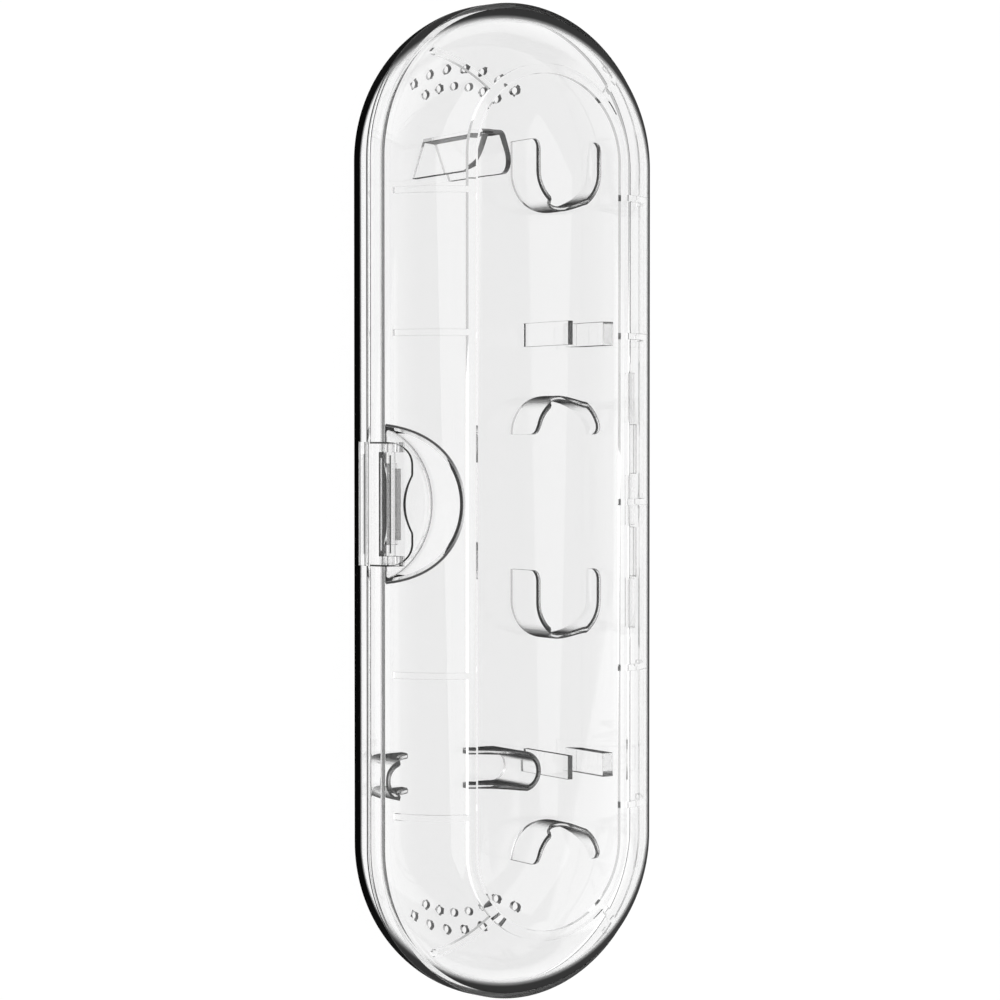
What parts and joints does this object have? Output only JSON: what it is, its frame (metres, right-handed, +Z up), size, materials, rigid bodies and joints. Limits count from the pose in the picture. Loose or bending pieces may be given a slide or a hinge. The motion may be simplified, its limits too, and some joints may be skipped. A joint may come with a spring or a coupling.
{
  "type": "toothbrush travel case",
  "caption": "Clear capsule-shaped travel case with a hinged lid, a press latch, vent holes and moulded holders for a brush handle and spare heads.",
  "frame": {"origin": "centre of the case's outline, on the surface the base stands on", "axes": "+Y along the case, +Z up through the lid, -X towards the latch and +X towards the hinge"},
  "size_m": [0.0761, 0.225, 0.04],
  "materials": {
    "clear_shell": "clear polished",
    "clear_latch": "clear polished"
  },
  "bodies": {
    "base": {"base_shell": "clear_shell", "hinge_pin": "clear_shell", "brush_cup_upper": "clear_shell", "brush_cup_lower": "clear_shell", "clip_plate_upper": "clear_shell", "clip_plate_lower": "clear_shell", "clip_block_upper": "clear_shell", "clip_block_lower": "clear_shell", "brush_arch_upper": "clear_shell", "brush_arch_lower": "clear_shell", "cradle_left": "clear_shell", "cradle_right": "clear_shell", "handle_stop": "clear_shell"},
    "lid": {"lid_shell": "clear_shell", "latch_pin": "clear_shell"},
    "latch": {"latch_flap": "clear_latch"}
  },
  "joints": [
    {"name": "lid_hinge", "type": "hinge", "parent": "base", "child": "lid", "pos_m": [0.0369, 0, 0.0207], "axis": [0, 1, 0], "range_deg": [0, 180]},
    {"name": "latch_pivot", "type": "hinge", "parent": "lid", "child": "latch", "pos_m": [-0.034, 0, 0.0277], "axis": [0, 1, 0], "range_deg": [0, 12]}
  ]
}
